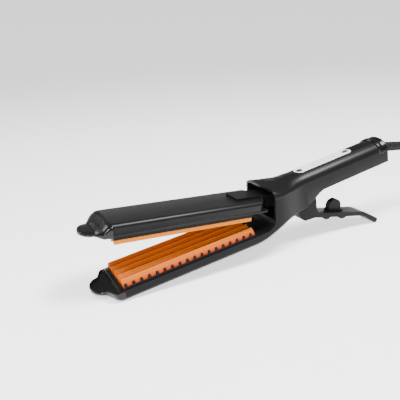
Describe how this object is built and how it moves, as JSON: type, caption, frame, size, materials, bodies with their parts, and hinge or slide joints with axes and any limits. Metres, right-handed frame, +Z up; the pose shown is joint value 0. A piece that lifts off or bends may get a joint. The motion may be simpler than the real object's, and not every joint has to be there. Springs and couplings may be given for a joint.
{
  "type": "hair straightener",
  "caption": "Hair crimping straightener with ridged heated plates on two hinged jaws, a squeeze lever under the grip, control buttons on top, and a cord in a tied hank with a plug.",
  "frame": {"origin": "centre of the bounding box of the iron without its cord, on the table plane", "axes": "+Z up, +X from the jaws towards the cord, +Y to the side away from the comb teeth"},
  "size_m": [0.5065, 0.0665, 0.0844],
  "materials": {
    "black_plastic": "satin, fine grain",
    "dark_heat_plastic": "matte",
    "orange_plate": "ceramic coating, satin",
    "ceramic": "matte",
    "steel": "brushed",
    "bronze": "satin",
    "pale_panel": "satin",
    "lamp": "clear",
    "button": "satin",
    "board": "satin",
    "switch": "matte",
    "cord_rubber": "satin",
    "tie": "matte",
    "wire": "matte",
    "plug_plastic": "satin",
    "plug_metal": "polished"
  },
  "bodies": {
    "grip": {"lower_casing": "black_plastic", "top_cover": "black_plastic", "lower_nose": "dark_heat_plastic", "lower_plate": "orange_plate", "lower_heater": "ceramic", "lower_carrier": "dark_heat_plastic", "comb_strip": "dark_heat_plastic", "edge_strip": "dark_heat_plastic", "pivot_pin": "steel", "opening_spring": "steel", "control_panel": "pale_panel", "panel_lamps": "lamp", "circuit_board": "board", "key_switches": "switch", "thermal_fuse": "ceramic", "end_cap": "black_plastic", "strain_relief": "cord_rubber", "cord_clamp": "dark_heat_plastic", "clamp_screws": "steel", "inner_cord": "cord_rubber", "lead_wires": "wire", "casing_screws": "steel", "cord": "cord_rubber", "cord_coil": "cord_rubber", "cord_tie": "tie", "plug_body": "plug_plastic", "plug_pins": "plug_metal"},
    "jaw": {"rocker_lever": "black_plastic", "pivot_bush": "bronze", "lever_tab": "black_plastic", "upper_casing": "black_plastic", "upper_nose": "dark_heat_plastic", "upper_plate": "orange_plate", "upper_heater": "ceramic", "upper_carrier": "dark_heat_plastic", "strap_screws": "steel"},
    "power_key": {"power_button": "button"},
    "mode_key": {"mode_button": "button"}
  },
  "joints": [
    {"name": "jaw_hinge", "type": "hinge", "parent": "grip", "child": "jaw", "pos_m": [0.03998, 0, 0.04623], "axis": [0, -1, 0], "range_deg": [0, 11.5], "stiffness_Nm_per_rad": 1.5, "springref_deg": -18.91, "deforming": ["opening_spring"]},
    {"name": "power_press", "type": "slide", "parent": "grip", "child": "power_key", "axis": [0.1771, 0, -0.9842], "range_m": [0, 0.0005], "stiffness_N_per_m": 800, "springref_m": -0.001},
    {"name": "mode_press", "type": "slide", "parent": "grip", "child": "mode_key", "axis": [0.1771, 0, -0.9842], "range_m": [0, 0.0005], "stiffness_N_per_m": 800, "springref_m": -0.001}
  ]
}
